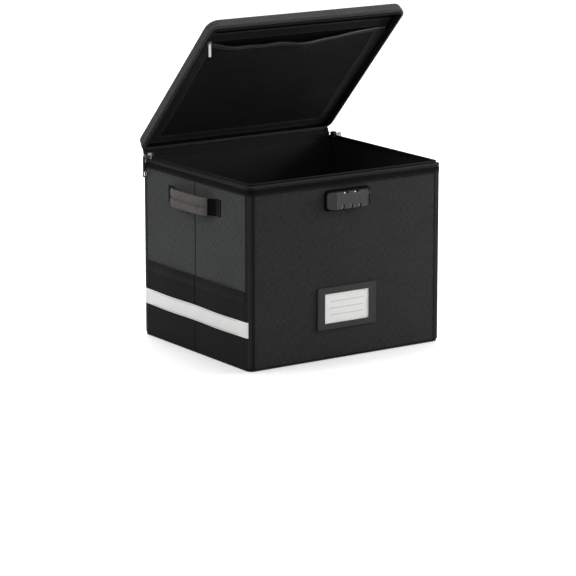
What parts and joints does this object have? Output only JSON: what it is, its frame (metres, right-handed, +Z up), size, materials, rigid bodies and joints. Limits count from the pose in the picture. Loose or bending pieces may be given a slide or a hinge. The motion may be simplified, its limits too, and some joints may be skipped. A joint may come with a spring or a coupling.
{
  "type": "storage box",
  "caption": "Rectangular cloth-over-board storage box with a hinged zip-round lid, side handles, a dial lock, a net lid pocket and a label holder.",
  "frame": {"origin": "centre of the underside, on the surface that the box stands on", "axes": "+X to the right along the front, +Y from the front to the hinge side, +Z up"},
  "size_m": [0.4482, 0.375, 0.5953],
  "materials": {
    "cloth_black": "woven canvas, black",
    "cloth_grey": "woven canvas, charcoal",
    "lining": "thin lining cloth, black",
    "webbing": "flat webbing, black",
    "grip_cloth": "padded canvas, charcoal",
    "binding": "folded binding tape, black",
    "stripe": "light reflective band",
    "tape": "zip tape, black",
    "net": "open net, black",
    "board": "greyboard inside the walls",
    "foam": "foam edge strip",
    "coil": "moulded zip coil, black",
    "metal": "polished metal",
    "steel": "plain steel",
    "lock": "satin moulding, black",
    "dial": "light moulded wheel with dark figures",
    "frame": "grained sheet, black",
    "film": "clear film",
    "card": "plain card, white"
  },
  "bodies": {
    "box": {"cloth_front": "cloth_black", "cloth_rear": "cloth_black", "cloth_bottom": "cloth_black", "side_pocket_left": "cloth_black", "side_pocket_right": "cloth_black", "rim_band": "cloth_black", "cloth_left": "cloth_grey", "cloth_right": "cloth_grey", "lining_walls": "lining", "lining_floor": "lining", "board_front": "board", "board_rear": "board", "board_base": "board", "board_left_front": "board", "board_left_rear": "board", "board_right_front": "board", "board_right_rear": "board", "piping_bottom": "binding", "corner_bindings": "binding", "hinge_strip_body": "binding", "body_zip_tape": "tape", "body_zip_coil": "coil", "body_zip_stops": "metal", "stripe_left": "stripe", "stripe_right": "stripe", "handle_strap_left": "webbing", "handle_strap_right": "webbing", "handle_grip_left": "grip_cloth", "handle_grip_right": "grip_cloth", "label_frame": "frame", "label_film": "film", "lock_housing": "lock", "lock_back_plate": "steel", "lock_screws": "steel", "dial_axle": "steel"},
    "lid": {"lid_shell": "cloth_black", "lid_board": "board", "lid_edge_strip": "foam", "lid_lining": "lining", "lid_binding": "cloth_black", "lid_zip_tape": "tape", "lid_zip_coil": "coil", "lid_piping": "lining", "hinge_strip_lid": "binding", "net_zip_tapes": "tape", "net_coil_upper": "coil", "net_coil_lower": "coil", "net_border": "binding", "net_panel": "net"},
    "slider_left": {"zip_slider_left": "metal"},
    "slider_right": {"zip_slider_right": "metal"},
    "pull_left": {"zip_pull_left": "metal"},
    "pull_right": {"zip_pull_right": "metal"},
    "pocket_slider": {"net_slider": "metal"},
    "pocket_pull": {"net_pull": "metal"},
    "dial_one": {"dial_1": "dial"},
    "dial_two": {"dial_2": "dial"},
    "dial_three": {"dial_3": "dial"},
    "button": {"release_button": "lock"},
    "card": {"label_card": "card"}
  },
  "joints": [
    {"name": "lid_hinge", "type": "hinge", "parent": "box", "child": "lid", "pos_m": [0, 0.1753, 0.33], "axis": [-1, 0, 0], "range_deg": [-46, 114]},
    {"name": "slider_left_run", "type": "slide", "parent": "box", "child": "slider_left", "axis": [0, -1, 0], "range_m": [0, 0.3]},
    {"name": "pull_left_swing", "type": "hinge", "parent": "slider_left", "child": "pull_left", "pos_m": [-0.2112, 0.151, 0.328], "axis": [0, 1, 0], "range_deg": [-0.5, 160]},
    {"name": "slider_right_run", "type": "slide", "parent": "box", "child": "slider_right", "axis": [0, -1, 0], "range_m": [0, 0.3]},
    {"name": "pull_right_swing", "type": "hinge", "parent": "slider_right", "child": "pull_right", "pos_m": [0.2112, 0.151, 0.328], "axis": [0, -1, 0], "range_deg": [-0.5, 160]},
    {"name": "pocket_slider_run", "type": "slide", "parent": "lid", "child": "pocket_slider", "axis": [1, 0, 0], "range_m": [-0.004, 0.365]},
    {"name": "pocket_pull_swing", "type": "hinge", "parent": "pocket_slider", "child": "pocket_pull", "pos_m": [-0.1842, -0.02184, 0.54875], "axis": [1, 0, 0], "range_deg": [-134, 46]},
    {"name": "dial_one_turn", "type": "hinge", "parent": "box", "child": "dial_one", "pos_m": [-0.0175, -0.1788, 0.273], "axis": [1, 0, 0], "continuous": true},
    {"name": "dial_two_turn", "type": "hinge", "parent": "box", "child": "dial_two", "pos_m": [0, -0.1788, 0.273], "axis": [1, 0, 0], "continuous": true},
    {"name": "dial_three_turn", "type": "hinge", "parent": "box", "child": "dial_three", "pos_m": [0.0175, -0.1788, 0.273], "axis": [1, 0, 0], "continuous": true},
    {"name": "button_press", "type": "slide", "parent": "box", "child": "button", "axis": [-1, 0, 0], "range_m": [0, 0.002], "stiffness_N_per_m": 400, "springref_m": -0.002},
    {"name": "card_draw", "type": "slide", "parent": "box", "child": "card", "axis": [0, 0, 1], "range_m": [0, 0.062]}
  ]
}
